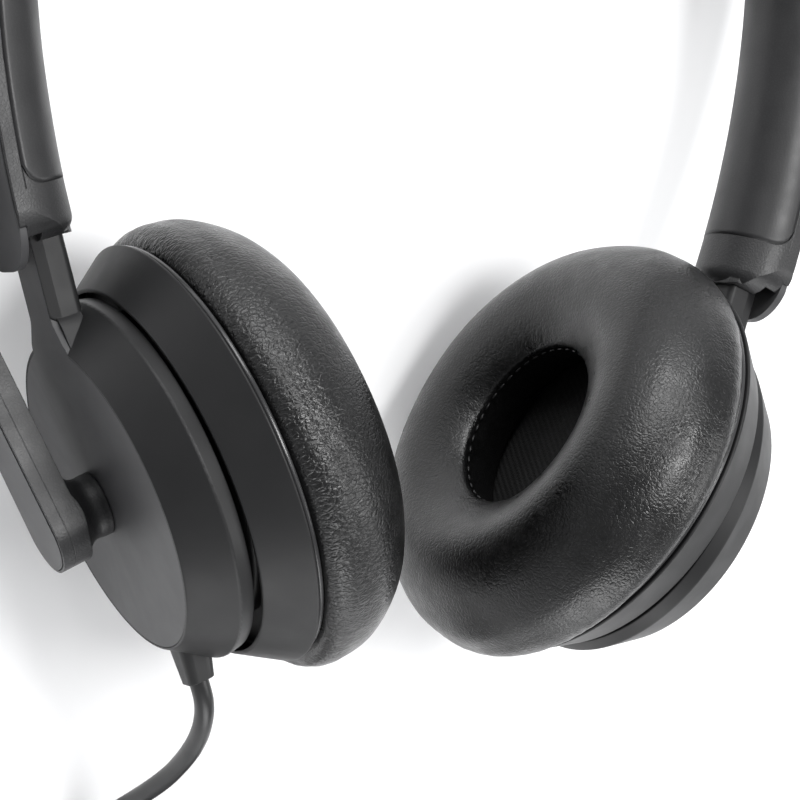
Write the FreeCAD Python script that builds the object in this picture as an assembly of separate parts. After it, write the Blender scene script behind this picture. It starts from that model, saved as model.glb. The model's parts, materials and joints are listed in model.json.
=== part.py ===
"""Wired on-ear office headset with a boom microphone, lying on its front edge on a table.

The headset is designed in "wearing" axes, in millimetres: X from the left cup to the right
cup, Y towards the wearer's front, Z up to the crown, origin midway between the outer faces
of the two cups. At the end everything is laid down on the table: Z up from the table.

Each cup is drawn in its own axes: x forward, y up along the round outer face, z (depth)
inwards towards the ear, origin at the centre of the outer face.
"""
import FreeCAD, Part
import math
import os

V = FreeCAD.Vector
ORIGIN, X_AXIS, Y_AXIS, Z_AXIS = V(0, 0, 0), V(1, 0, 0), V(0, 1, 0), V(0, 0, 1)

# ---------------------------------------------------------------- driving dimensions
FACE_HALF_SPAN = 48.75      # centre of the headset to the centre of each outer face
CUP_LEAN = 23.9             # the cup axis points up by this angle, because the arms splay
CUP_TOE = -3.9              # and slightly to the rear, like the sides of a head
REST_TILT = 10.17           # slope of the headset when cushions and crown touch the table

FACE_R = 24.05              # round outer face
HOUSING_WIDEST, HOUSING_MAX_R = 6.4, 28.15      # end of the cone, where a chamfer begins
HOUSING_DEPTH, HOUSING_RIM_R = 8.75, 27.75
FACE_INSET = 0.45           # width of the housing's rim round the face
COVER_T = 1.4               # face and slider strip
WALL = 1.6

PIVOT_DEPTH = 6.6           # plane of the gimbal pins
GIMBAL_R = 12.5
PIN_R = 1.0

RING_START, RING_END = 9.2, 16.6        # cushion-side shell, along the depth
RING_START_R, RING_END_R = 29.0, 33.4
RING_WALL = 0.5             # at its thin edge
BAFFLE_DEPTH = 13.4
CLOTH_DEPTH = 20.0
DRIVER_R = 19.8

CUSHION_R = 34.9
CUSHION_BULGE = 22.0        # depth of the widest place
CUSHION_CREST_R, CUSHION_CREST = 23.5, 35.5
CUSHION_DROP = 1.0          # the soft ring sits this much low on the hard one
HOLE_R, HOLE_DEPTH = 13.6, 30.6

SLIDER_W = 9.7              # width across the slider, at the ridge on its sides
STRIP_W = 8.7
SLIDER_T = 5.15             # whole thickness, strip included
SLIDER_X = -0.6             # sideways place of the slider on the face
SLIDER_BEND = 6.7           # the slider leans in from the face plane
BODY_LENGTH = 27.0          # full-thickness part of the slider above the face edge
RAIL_W, RAIL_T = 8.4, 2.0
RAIL_SET_IN = 2.6           # rail face behind the strip face
RAIL_LENGTH = 26.0
STOP_W, STOP_T, STOP_LENGTH = 9.0, 2.8, 4.0
RUNNING_GAP = 0.3

BAND_HALF_W = 9.0           # headband half width
BAND_T = 11.0               # cover face to the crest of the pad
BAND_SIDE = 2.3             # cover face to the pad seam
BAND_COVER_T = 1.2
ARM_R, SHOULDER_R = 170.0, 52.0
BAND_HALF_SPAN = 74.5       # widest place of the outer surface
BAND_WIDEST_Z = 88.7
SHOULDER_TURN = 52.0
FRAME_END = 18.35           # angles below the widest place, about the arm's centre
COVER_END = 19.5
PAD_END = 15.55
RIGHT_EXTRA = 0.8           # the right slider is pushed in further, by this turn of the arm

HUB_X, HUB_Y, HUB_R = 3.2, -0.9, 5.0
BOOM_OUTER = 9.8            # face to the outside of the boom
BOOM_T = 4.8
BOOM_COVER_T, BOOM_BAND_T = 0.45, 1.55
BOOM_TAIL = 1.0             # the round end's centre lies this far behind the hub
BOOM_R, BOOM_TIP_R = 6.1, 4.0
BOOM_STRAIGHT, BOOM_ARC_R, BOOM_ARC = 30.0, 110.0, 34.0
BOOM_LEAN, BOOM_FLARE = 7.0, 3.0
AXLE_R, RUNNING_FIT = 1.6, 0.05

LEFT_REST_TILT, RIGHT_REST_TILT = 0.8, 2.8

CORD_D = 3.0
COIL_X, COIL_Y = -7.8, -145.8           # middle of the put-away coil, on the table
COIL_LAYERS, COIL_RANKS = 4, 4          # turns on each other, and beside each other
COIL_MIDDLE_R = 16.5
TIE_W, TIE_T, TIE_ANGLE = 7.0, 0.6, 60.0
PLUG_Y = -166.8                         # the plug points along +X beside the coil
PLUG_X = 13.7                           # where the cord enters the plug


# ---------------------------------------------------------------- drawing helpers
def rounded_wire(points):
    """Closed wire in the XY plane; a point is (x, y) or (x, y, corner radius)."""
    corners = [V(p[0], p[1], 0) for p in points]
    radii = [p[2] if len(p) > 2 else 0.0 for p in points]
    starts, ends, middles = [], [], []
    for i, corner in enumerate(corners):
        back = (corners[i - 1] - corner).normalize()
        ahead = (corners[(i + 1) % len(corners)] - corner).normalize()
        if radii[i] == 0.0:
            starts.append(corner), ends.append(corner), middles.append(None)
            continue
        half = back.getAngle(ahead) / 2
        reach = radii[i] / math.tan(half)
        bisector = (back + ahead).normalize()
        centre = corner + bisector * (radii[i] / math.sin(half))
        starts.append(corner + back * reach)
        ends.append(corner + ahead * reach)
        middles.append(centre - bisector * radii[i])
    edges = []
    for i in range(len(corners)):
        if middles[i] is not None:
            edges.append(Part.Arc(starts[i], middles[i], ends[i]).toShape())
        following = starts[(i + 1) % len(corners)]
        if (following - ends[i]).Length > 1e-6:
            edges.append(Part.LineSegment(ends[i], following).toShape())
    return Part.Wire(edges)


def prism(points, low, high):
    """Outline in the XY plane, raised from z = low to z = high."""
    face = Part.Face(rounded_wire(points))
    face.translate(V(0, 0, low))
    return face.extrude(V(0, 0, high - low))


def side_prism(points, half_width):
    """Outline in the XZ plane, extruded both ways along Y."""
    face = Part.Face(rounded_wire(points))
    face.rotate(ORIGIN, X_AXIS, 90)
    face.translate(V(0, half_width, 0))
    return face.extrude(V(0, -2 * half_width, 0))


def revolved(points):
    """Profile of (radius, depth) points turned about the z axis."""
    face = Part.Face(rounded_wire(points))
    face.rotate(ORIGIN, X_AXIS, 90)
    return face.revolve(ORIGIN, Z_AXIS, 360)


def tube(outer_r, inner_r, low, high):
    return revolved([(inner_r, low), (outer_r, low), (outer_r, high), (inner_r, high)])


def rod(radius, start, end):
    return Part.makeCylinder(radius, (end - start).Length, start, end - start)


def block(centre, size):
    corner = V(centre[0] - size[0] / 2, centre[1] - size[1] / 2, centre[2] - size[2] / 2)
    return Part.makeBox(size[0], size[1], size[2], corner)


def joined(shapes):
    solid = shapes[0]
    for shape in shapes[1:]:
        solid = solid.fuse(shape)
    return solid.removeSplitter()


def without(shape, cutters):
    for cutter in cutters:
        shape = shape.cut(cutter)
    return shape


def rounded_edges(shape, radius, wanted):
    """Fillet the edges that the test picks; leave them sharp where that can't be done."""
    edges = [edge for edge in shape.Edges if wanted(edge)]
    try:
        rounded = shape.makeFillet(radius, edges)
    except Part.OCCError:
        print("left sharp:", radius, len(edges))
        return shape
    return rounded if rounded.isValid() else shape


def at_depth(depth, tolerance=0.01):
    """Test for edges that lie wholly at one z."""
    def test(edge):
        box = edge.BoundBox
        return abs(box.ZMin - depth) < tolerance and abs(box.ZMax - depth) < tolerance
    return test


def axes_placement(origin, x_dir, y_dir, z_dir):
    return FreeCAD.Placement(origin, FreeCAD.Rotation(x_dir, y_dir, z_dir, "ZXY"))


def moved(shape, placement):
    result = shape.copy()
    result.Placement = placement.multiply(result.Placement)
    return result


def mirrored(shape):
    return shape.mirror(ORIGIN, X_AXIS)


# ---------------------------------------------------------------- places
def cup_placement():
    """The left cup's own axes in the wearing axes."""
    lean, toe = math.radians(CUP_LEAN), math.radians(CUP_TOE)
    inward = V(math.cos(lean) * math.cos(toe), math.cos(lean) * math.sin(toe), math.sin(lean))
    up = (Z_AXIS - inward * inward.z).normalize()
    return axes_placement(V(-FACE_HALF_SPAN, 0, 0), up.cross(inward), up, inward)


def slider_placement():
    """Slider axes in the cup's axes: x across, y along the slider, z from the strip inwards."""
    bend = math.radians(SLIDER_BEND)
    along = V(0, math.cos(bend), math.sin(bend))
    inwards = V(0, -math.sin(bend), math.cos(bend))
    return axes_placement(V(SLIDER_X, FACE_R, 0), X_AXIS, along, inwards)


def boom_placement():
    """Boom axes in the cup's axes: x along the boom, y across, z outwards from the face."""
    lean, flare = math.radians(BOOM_LEAN), math.radians(BOOM_FLARE)
    flat = V(math.sin(lean), math.cos(lean), 0)
    along = flat * math.cos(flare) - Z_AXIS * math.sin(flare)
    across = V(math.cos(lean), -math.sin(lean), 0)
    return axes_placement(V(HUB_X, HUB_Y, -BOOM_OUTER), along, across, along.cross(across))


CUP = cup_placement()
SLIDER = slider_placement()
BOOM = boom_placement()
PIVOT = V(0, 0, PIVOT_DEPTH)


# ---------------------------------------------------------------- slider and outer cup
def cone_r(depth):
    """Outer radius of the cup's conical side at a depth."""
    return FACE_R + (HOUSING_MAX_R - FACE_R) * depth / HOUSING_WIDEST


def face_screw_places():
    return [V(18.5 * math.cos(math.radians(a)), 18.5 * math.sin(math.radians(a)), 0)
            for a in (30, 150, 248)]


def arm_cover(has_boom):
    """Round face and slider strip in one moulding."""
    disc = revolved([(0, 0), (FACE_R - FACE_INSET, 0, 0.12), (FACE_R - FACE_INSET, COVER_T),
                     (0, COVER_T)])
    half, foot, flare = STRIP_W / 2, -3.0, 3.2
    strip = prism([(-half - flare, foot), (half + flare, foot), (half + flare, -1.2, 1.6),
                   (half, 3.4, 4.0), (half, BODY_LENGTH, 2.0), (-half, BODY_LENGTH, 2.0),
                   (-half, 3.4, 4.0), (-half - flare, -1.2, 1.6)], 0, COVER_T)
    strip = moved(strip, SLIDER)
    outside = block((0, 0, -10), (90, 90, 20))
    strip = strip.cut(outside)
    cover = joined([disc, strip])
    holes = [Part.makeCylinder(0.9, 1.0, p + V(0, 0, 0.6)) for p in face_screw_places()]
    if has_boom:
        holes.append(Part.makeCylinder(2.65, 10, V(HUB_X, HUB_Y, -5)))
    return without(cover, holes)


def arm_housing(has_boom):
    """Conical outer shell with its floor, and the inner half of the slider."""
    floor_top = COVER_T + WALL
    rim = HOUSING_RIM_R
    edge = FACE_R - FACE_INSET + 0.03
    shell = revolved([(0, COVER_T), (edge, COVER_T), (edge, 0), (FACE_R - 0.15, 0),
                      (FACE_R, 0.15), (HOUSING_MAX_R, HOUSING_WIDEST, 0.6),
                      (rim, HOUSING_DEPTH, 0.2), (rim - WALL, HOUSING_DEPTH, 0.3),
                      (cone_r(floor_top) - WALL, floor_top), (0, floor_top)])
    half, back = SLIDER_W / 2, SLIDER_T - 0.6
    outline = prism([(-half, -6), (half, -6), (half, BODY_LENGTH, 2.0), (-half, BODY_LENGTH, 2.0)],
                    0, SLIDER_T)
    ridge = [(-STRIP_W / 2 - 0.1, 0), (STRIP_W / 2 + 0.1, 0), (half, 1.7),
             (half - 0.2, SLIDER_T, 1.1), (0.2 - half, SLIDER_T, 1.1), (-half, 1.7)]
    bar = side_prism(ridge, 40).common(outline)
    flare = prism([(-half - 3.4, -2.4), (half + 3.4, -2.4), (half, 4.6, 5.0), (-half, 4.6, 5.0)],
                  0.9, back)
    bar = moved(joined([bar, flare]), SLIDER)
    inside = revolved([(0, floor_top), (cone_r(floor_top) - WALL, floor_top),
                       (rim - WALL, HOUSING_DEPTH), (rim - WALL, 20), (0, 20)])
    bar = bar.cut(inside).cut(block((0, 0, -10), (90, 90, 20)))
    body = joined([shell, bar])
    holes = [Part.makeCylinder(0.9, 4, p + V(0, 0, 0.6)) for p in face_screw_places()]
    if has_boom:
        holes.append(Part.makeCylinder(2.65, 10, V(HUB_X, HUB_Y, -5)))
        holes.append(relief_body(0.0))
    return without(body, holes)


def face_screws():
    """Three screws that hold the face to the housing's floor."""
    screws = []
    for place in face_screw_places():
        shank = Part.makeCylinder(0.88, 2.4, place + V(0, 0, 0.62))
        head = Part.makeCylinder(1.7, 0.9, place + V(0, 0, COVER_T + WALL))
        screws.append(shank.fuse(head))
    return Part.makeCompound(screws)


def slider_rail():
    """Steel strip from the slider's end up into the headband."""
    length = BODY_LENGTH + RAIL_LENGTH
    rail = prism([(-RAIL_W / 2, BODY_LENGTH), (RAIL_W / 2, BODY_LENGTH),
                  (RAIL_W / 2, length, 0.8), (-RAIL_W / 2, length, 0.8)],
                 RAIL_SET_IN, RAIL_SET_IN + RAIL_T)
    notches = [Part.makeCylinder(0.5, RAIL_W, V(-RAIL_W / 2, BODY_LENGTH + 4 + 3.0 * i,
                                               RAIL_SET_IN - 0.15), X_AXIS)
               for i in range(7)]
    slot = prism([(-1.6, length - 3.2), (1.6, length - 3.2), (1.6, length - 0.8, 0.5),
                  (-1.6, length - 0.8, 0.5)], RAIL_SET_IN - 1, RAIL_SET_IN + RAIL_T + 1)
    return moved(without(rail, notches + [slot]), SLIDER)


def slider_stop():
    """Block clipped over the rail's top end, so that the slider can't fall out."""
    length = BODY_LENGTH + RAIL_LENGTH
    middle = RAIL_SET_IN + RAIL_T / 2
    outer = prism([(-STOP_W / 2, length - STOP_LENGTH), (STOP_W / 2, length - STOP_LENGTH),
                   (STOP_W / 2, length + 0.8, 0.8), (-STOP_W / 2, length + 0.8, 0.8)],
                  RAIL_SET_IN, middle + STOP_T / 2)
    rail_space = block((0, length - 10, middle), (RAIL_W, 20, RAIL_T))
    peg = prism([(-1.55, length - 3.15), (1.55, length - 3.15), (1.55, length - 0.85, 0.5),
                 (-1.55, length - 0.85, 0.5)], RAIL_SET_IN, RAIL_SET_IN + RAIL_T)
    return moved(outer.cut(rail_space).fuse(peg), SLIDER)


def detent_spring():
    """Bowed leaf in the headband that clicks into the rail's notches."""
    low, high = BODY_LENGTH + 8.0, BODY_LENGTH + 20.0
    face, leaf = RAIL_SET_IN - 0.06, 0.3
    rise = 0.75
    middle = (low + high) / 2
    inner = Part.Arc(V(low, face - rise, 0), V(middle, face, 0), V(high, face - rise, 0))
    outer = Part.Arc(V(high, face - rise - leaf, 0), V(middle, face - leaf, 0),
                     V(low, face - rise - leaf, 0))
    sides = [Part.LineSegment(V(high, face - rise, 0), V(high, face - rise - leaf, 0)),
             Part.LineSegment(V(low, face - rise - leaf, 0), V(low, face - rise, 0))]
    wire = Part.Wire([inner.toShape(), sides[0].toShape(), outer.toShape(), sides[1].toShape()])
    leaf_solid = Part.Face(wire).extrude(V(0, 0, 5.0))
    turned = axes_placement(V(2.5, 0, 0), Y_AXIS, Z_AXIS, X_AXIS)
    leaf_solid.translate(V(0, 0, -5.0))
    return moved(moved(leaf_solid, turned), SLIDER)


def post_places():
    return [V(0, side * (GIMBAL_R + 3.2), 0) for side in (-1, 1)]


def gimbal_bracket():
    """Foot plate on the housing's floor with two posts for the gimbal's outer pins."""
    floor_top = COVER_T + WALL
    foot = prism([(-3.2, -18.4, 1.0), (3.2, -18.4, 1.0), (3.2, 18.4, 1.0), (-3.2, 18.4, 1.0)],
                 floor_top, floor_top + 0.8)
    posts = [block((0, p.y, (floor_top + PIVOT_DEPTH + 1.9) / 2),
                   (5.4, 3.0, PIVOT_DEPTH + 1.9 - floor_top)) for p in post_places()]
    bores = [rod(1.8, V(0, -30, PIVOT_DEPTH), V(0, 30, PIVOT_DEPTH)),
             Part.makeCylinder(4.2, 9, V(HUB_X, HUB_Y, 0))]
    return without(joined([foot] + posts), bores)


def gimbal_bushes():
    """Rubber bushes round the outer pins, which also centre the cup."""
    bushes = [rod(1.78, V(0, side * (GIMBAL_R + 1.8), PIVOT_DEPTH),
                  V(0, side * (GIMBAL_R + 4.6), PIVOT_DEPTH)) for side in (-1, 1)]
    hole = rod(PIN_R + RUNNING_FIT, V(0, -30, PIVOT_DEPTH), V(0, 30, PIVOT_DEPTH))
    return Part.makeCompound([bush.cut(hole) for bush in bushes])


def gimbal_ring():
    """Ring with two outer pins up and down, and bores for the yoke's pins fore and aft."""
    ring = tube(GIMBAL_R, GIMBAL_R - 2.2, PIVOT_DEPTH - 1.4, PIVOT_DEPTH + 1.4)
    pins = [rod(PIN_R, V(0, side * (GIMBAL_R - 0.6), PIVOT_DEPTH),
                V(0, side * (GIMBAL_R + 4.4), PIVOT_DEPTH)) for side in (-1, 1)]
    bore = rod(PIN_R + RUNNING_FIT, V(-30, 0, PIVOT_DEPTH), V(30, 0, PIVOT_DEPTH))
    return without(joined([ring] + pins), [bore])


def main_board():
    """Circuit board round the gimbal bracket, where the cord's wires end."""
    low = COVER_T + WALL + 1.0
    board = tube(20.6, GIMBAL_R + 0.7, low, low + 1.0)
    gap = block((0, 0, low), (8.0, 60, 6))
    heads = [Part.makeCylinder(2.2, 6, p + V(0, 0, 1)) for p in face_screw_places()]
    left = block((-30, 0, low), (60, 60, 6))
    return without(board.common(left), [gap] + heads)


# ---------------------------------------------------------------- inner cup
def pivot_yoke():
    """Two ears on the back shell with pins fore and aft, inside the gimbal ring."""
    reach = GIMBAL_R - 2.8
    top = 10.6
    ears = [block((side * (reach - 1.3), 0, (PIVOT_DEPTH - 1.6 + top) / 2),
                  (2.2, 4.2, top - PIVOT_DEPTH + 1.6)) for side in (-1, 1)]
    plate = Part.makeCylinder(reach, 0.7, V(0, 0, top - 0.7))
    pins = [rod(PIN_R, V(side * (reach - 2.0), 0, PIVOT_DEPTH),
                V(side * (GIMBAL_R - 0.3), 0, PIVOT_DEPTH)) for side in (-1, 1)]
    return joined([plate] + ears + pins)


def back_shell():
    """Shallow tray that closes the driver's chamber and shows as the dark band in the gap."""
    low = 10.6
    return revolved([(0, low), (24.0, low, 1.0), (24.0, BAFFLE_DEPTH), (22.8, BAFFLE_DEPTH),
                     (22.8, low + 1.1, 0.6), (0, low + 1.1)])


def cup_ring():
    """Cushion-side shell: a conical skirt and the baffle that carries the driver."""
    inner_start, inner_end = RING_START_R - RING_WALL, RING_END_R - 1.3
    top = RING_END - 0.45
    ring = revolved([(DRIVER_R + 0.1, BAFFLE_DEPTH), (inner_start + 1.2, BAFFLE_DEPTH, 0.4),
                     (inner_start, RING_START), (RING_START_R, RING_START, 0.3),
                     (RING_END_R, top - 0.1, 0.3), (inner_end + 0.5, top),
                     (inner_end + 0.5, top - 0.6), (inner_end, top - 0.6),
                     (inner_end - 0.6, BAFFLE_DEPTH + 1.3), (DRIVER_R + 0.1, BAFFLE_DEPTH + 1.3)])
    bores = [Part.makeCylinder(0.95, 4, p + V(0, 0, BAFFLE_DEPTH - 1)) for p in cup_screw_places()]
    return without(ring, bores)


def cup_screw_places():
    return [V(23.4 * math.cos(math.radians(a)), 23.4 * math.sin(math.radians(a)), 0)
            for a in (45, 165, 285)]


def cup_screws():
    """Three screws that pull the back shell to the baffle from the ear side."""
    screws = []
    for place in cup_screw_places():
        head = Part.makeCylinder(1.7, 0.9, place + V(0, 0, BAFFLE_DEPTH + 1.3))
        shank = Part.makeCylinder(0.9, 1.3, place + V(0, 0, BAFFLE_DEPTH))
        screws.append(head.fuse(shank))
    return Part.makeCompound(screws)


def driver_basket():
    """Moulded ring and spokes that hold the magnet and the cone."""
    rim = tube(DRIVER_R, DRIVER_R - 2.0, BAFFLE_DEPTH - 0.2, BAFFLE_DEPTH + 4.0)
    floor = tube(DRIVER_R - 1.5, 8.6, BAFFLE_DEPTH - 0.2, BAFFLE_DEPTH + 0.8)
    windows = []
    for step in range(6):
        angle = math.radians(60 * step)
        windows.append(Part.makeCylinder(2.9, 6, V(13.2 * math.cos(angle),
                                                   13.2 * math.sin(angle), BAFFLE_DEPTH - 2)))
    return without(joined([rim, floor]), windows)


def driver_magnet():
    return revolved([(0, BAFFLE_DEPTH - 1.4), (8.5, BAFFLE_DEPTH - 1.4, 0.4),
                     (8.5, BAFFLE_DEPTH + 2.2, 0.4), (0, BAFFLE_DEPTH + 2.2)])


def driver_cone():
    """Thin diaphragm: a shallow cone with a dome in the middle."""
    base = BAFFLE_DEPTH + 2.7
    return revolved([(0, base + 1.2), (3.4, base + 0.9), (6.5, base), (12.0, base + 0.6),
                     (15.0, base + 1.2), (17.6, base + 0.9), (17.6, base + 1.1),
                     (15.0, base + 1.4), (12.0, base + 0.8), (6.5, base + 0.2),
                     (3.4, base + 1.1), (0, base + 1.4)])


def speaker_cloth():
    """Ribbed cloth on a thin hoop in front of the driver."""
    cloth = Part.makeCylinder(18.4, 0.5, V(0, 0, CLOTH_DEPTH - 0.5))
    hoop = tube(18.4, 17.4, BAFFLE_DEPTH + 4.1, CLOTH_DEPTH - 0.5)
    return joined([cloth, hoop])


def cushion_clip():
    """Hard ring that the cushion is sewn to; its bead shows as a fine glossy line."""
    low, high = RING_END - 0.4, RING_END + 0.4
    bead = RING_END_R - 0.6
    return revolved([(20.4, BAFFLE_DEPTH + 2.4), (21.4, BAFFLE_DEPTH + 2.4),
                     (21.4, low), (bead, low, 0.3), (bead, high, 0.35), (20.4, high)])


def cushion():
    """Soft ring with a bulging side, a crest and a sloping mouth round the ear hole."""
    low = RING_END + 0.42
    bulge, crest = CUSHION_BULGE, CUSHION_CREST
    outer = Part.BSplineCurve()
    outer.interpolate([V(RING_END_R - 0.5, low, 0), V(CUSHION_R - 0.9, low + 1.1, 0),
                       V(CUSHION_R - 0.1, low + 3.0, 0), V(CUSHION_R, bulge, 0),
                       V(CUSHION_R - 0.7, bulge + 4.0, 0),
                       V(CUSHION_R - 2.7, bulge + 7.5, 0), V(CUSHION_R - 5.5, crest - 2.7, 0),
                       V(CUSHION_CREST_R + 2.9, crest - 0.5, 0), V(CUSHION_CREST_R, crest, 0),
                       V(19.6, crest - 1.1, 0), V(15.4, crest - 3.2, 0),
                       V(HOLE_R, HOLE_DEPTH, 0), V(14.6, HOLE_DEPTH - 4.6, 0),
                       V(16.6, low + 3.4, 0)])
    last, first = V(16.6, low + 3.4, 0), V(RING_END_R - 0.5, low, 0)
    inner = V(19.8, low + 3.4, 0)
    foot = V(21.2, low, 0)
    edges = [outer.toShape(), Part.LineSegment(last, inner).toShape(),
             Part.LineSegment(inner, foot).toShape(), Part.LineSegment(foot, first).toShape()]
    face = Part.Face(Part.Wire(edges))
    face.rotate(ORIGIN, X_AXIS, 90)
    ring = face.revolve(ORIGIN, Z_AXIS, 360)
    ring.translate(V(0, -CUSHION_DROP, 0))
    return ring


# ---------------------------------------------------------------- boom
def boom_side_band(inner, outer, length_cut=0.0):
    """Slice of the boom between two heights below its outside, straight and then curving in."""
    start = -BOOM_R - BOOM_TAIL - 1
    turn = math.radians(BOOM_ARC) - length_cut / BOOM_ARC_R
    centre = V(BOOM_STRAIGHT, -BOOM_ARC_R, 0)

    def on_arc(height, angle):
        radius = BOOM_ARC_R - height
        return centre + V(radius * math.sin(angle), radius * math.cos(angle), 0)

    edges = [Part.LineSegment(V(start, -outer, 0), on_arc(outer, 0)).toShape(),
             Part.Arc(on_arc(outer, 0), on_arc(outer, turn / 2), on_arc(outer, turn)).toShape(),
             Part.LineSegment(on_arc(outer, turn), on_arc(inner, turn)).toShape(),
             Part.Arc(on_arc(inner, turn), on_arc(inner, turn / 2), on_arc(inner, 0)).toShape(),
             Part.LineSegment(on_arc(inner, 0), V(start, -inner, 0)).toShape(),
             Part.LineSegment(V(start, -inner, 0), V(start, -outer, 0)).toShape()]
    face = Part.Face(Part.Wire(edges))
    face.rotate(ORIGIN, X_AXIS, 90)
    face.translate(V(0, 12, 0))
    return face.extrude(V(0, -24, 0))


def boom_reach():
    return BOOM_STRAIGHT + BOOM_ARC_R * math.sin(math.radians(BOOM_ARC))


def boom_outline(inset, low, high):
    """Long drop shape seen from outside: wide at the hub, narrow at the microphone."""
    hub, tip = BOOM_R - inset, BOOM_TIP_R - inset
    far = boom_reach() - BOOM_TIP_R - 1.5 + BOOM_TAIL
    slope = math.asin((hub - tip) / far)
    s, c = math.sin(slope), math.cos(slope)
    edges = [Part.LineSegment(V(hub * s, hub * c, 0), V(far + tip * s, tip * c, 0)).toShape(),
             Part.Arc(V(far + tip * s, tip * c, 0), V(far + tip, 0, 0),
                      V(far + tip * s, -tip * c, 0)).toShape(),
             Part.LineSegment(V(far + tip * s, -tip * c, 0), V(hub * s, -hub * c, 0)).toShape(),
             Part.Arc(V(hub * s, -hub * c, 0), V(-hub, 0, 0), V(hub * s, hub * c, 0)).toShape()]
    face = Part.Face(Part.Wire(edges))
    face.translate(V(-BOOM_TAIL, 0, low))
    return face.extrude(V(0, 0, high - low))


def boom_layer(inset, inner, outer):
    return boom_side_band(inner, outer).common(boom_outline(inset, -60, 10))


def boom_cover():
    """Thin smooth outer inlay."""
    return moved(boom_layer(0.55, 0.0, BOOM_COVER_T), BOOM)


def boom_middle_band():
    """Middle layer with a shallow tray for the inlay."""
    band = boom_layer(0.0, 0.12, BOOM_COVER_T + BOOM_BAND_T)
    return moved(band.cut(boom_layer(0.4, -1.0, BOOM_COVER_T)), BOOM)


def hub_axis_line(start, end):
    """Rod along the hub's axis between two depths of the cup."""
    return V(HUB_X, HUB_Y, start), V(HUB_X, HUB_Y, end)


def boom_inner_shell():
    """Inner layer, with the hub that turns on the cup's face."""
    layer = boom_layer(0.0, BOOM_COVER_T + BOOM_BAND_T, BOOM_T)
    flare_low = -(BOOM_OUTER - BOOM_T) + 0.6
    hub = revolved([(0, -0.15), (HUB_R - 0.15, -0.15), (HUB_R - 0.15, -1.2, 2.5),
                    (HUB_R - 0.35, -3.0, 2.0), (HUB_R + 2.6, flare_low - 1.6), (0, flare_low - 1.6)])
    hub.translate(V(HUB_X, HUB_Y, 0))
    outline = moved(boom_outline(0.02, -30, 30), BOOM)
    under = moved(boom_side_band(-30, BOOM_COVER_T + BOOM_BAND_T), BOOM)
    hub = hub.common(outline.fuse(Part.makeCylinder(HUB_R, 20, V(HUB_X, HUB_Y, -17))))
    hub = hub.cut(under)
    shell = joined([moved(layer, BOOM), hub])
    holes = [rod(AXLE_R, *hub_axis_line(-6.0, 2.0)), mic_pocket()]
    return without(shell, holes)


def mic_frame():
    """Axes at the microphone, near the tip: z points to the mouth side of the boom."""
    angle = math.radians(BOOM_ARC) * 0.86
    radius = BOOM_ARC_R - BOOM_T
    centre = V(BOOM_STRAIGHT, 0, -BOOM_ARC_R)
    outward = V(math.sin(angle), 0, math.cos(angle))
    along = V(math.cos(angle), 0, -math.sin(angle))
    return BOOM.multiply(axes_placement(centre + outward * radius, along, Y_AXIS * -1,
                                        outward * -1))


def mic_pocket():
    return moved(Part.makeCylinder(2.25, 2.6, V(0, 0, -2.2)), mic_frame())


def microphone_capsule():
    return moved(revolved([(0, -2.15), (2.0, -2.15, 0.2), (2.0, -0.75, 0.2), (0, -0.75)]),
                 mic_frame())


def microphone_grille():
    """Small perforated disc in the tip."""
    disc = Part.makeCylinder(2.2, 0.35, V(0, 0, -0.5))
    holes = [Part.makeCylinder(0.28, 2, V(x, y, -1))
             for x in (-1.0, 0.0, 1.0) for y in (-1.0, 0.0, 1.0)]
    return moved(without(disc, holes), mic_frame())


def boom_axle():
    """Pin fixed in the hub that turns in the cup's bush."""
    return rod(AXLE_R, *hub_axis_line(-5.8, COVER_T + WALL + 1.3))


def boom_bush():
    """Flanged bush in the face."""
    body = tube(2.6, AXLE_R + RUNNING_FIT, 0.1, COVER_T + WALL)
    flange = tube(3.6, AXLE_R + RUNNING_FIT, COVER_T + WALL, COVER_T + WALL + 0.3)
    bush = joined([body, flange])
    bush.translate(V(HUB_X, HUB_Y, 0))
    return bush


def boom_clip():
    """Retaining ring pressed on the axle's end."""
    low = COVER_T + WALL + 0.4
    ring = tube(3.2, AXLE_R, low, low + 0.6)
    gap = block((3.0, 0, low), (4.0, 1.4, 4.0))
    ring = ring.cut(gap)
    ring.translate(V(HUB_X, HUB_Y, 0))
    return ring


# ---------------------------------------------------------------- headband
def band_section(points):
    """Closed section face at the widest place of the left arm; (y, inwards) points."""
    face = Part.Face(rounded_wire(points))
    placed = axes_placement(V(-BAND_HALF_SPAN, 0, BAND_WIDEST_Z), Y_AXIS, X_AXIS, Z_AXIS * -1)
    return moved(face, placed)


def arm_centre():
    return V(-BAND_HALF_SPAN + ARM_R, 0, BAND_WIDEST_Z)


def shoulder_centre():
    return V(-BAND_HALF_SPAN + SHOULDER_R, 0, BAND_WIDEST_Z)


def crown_centre():
    turn = math.radians(SHOULDER_TURN)
    edge = shoulder_centre() + V(-math.cos(turn), 0, math.sin(turn)) * SHOULDER_R
    crown_r = -edge.x / math.cos(turn)
    return edge + V(math.cos(turn), 0, -math.sin(turn)) * crown_r


def swept_arm(section, low_angle, high_angle=0.0):
    """Section carried along the left arm between two angles below the widest place."""
    start = section.copy()
    start.rotate(arm_centre(), Y_AXIS * -1, high_angle)
    return start.revolve(arm_centre(), Y_AXIS * -1, low_angle - high_angle)


def swept_crown(section):
    """Section carried over both shoulders and the crown, from arm to arm."""
    shoulder = section.revolve(shoulder_centre(), Y_AXIS, SHOULDER_TURN)
    start = section.copy()
    start.rotate(shoulder_centre(), Y_AXIS, SHOULDER_TURN)
    crown = start.revolve(crown_centre(), Y_AXIS, 180 - 2 * SHOULDER_TURN)
    return [shoulder, crown, mirrored(shoulder)]


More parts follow.
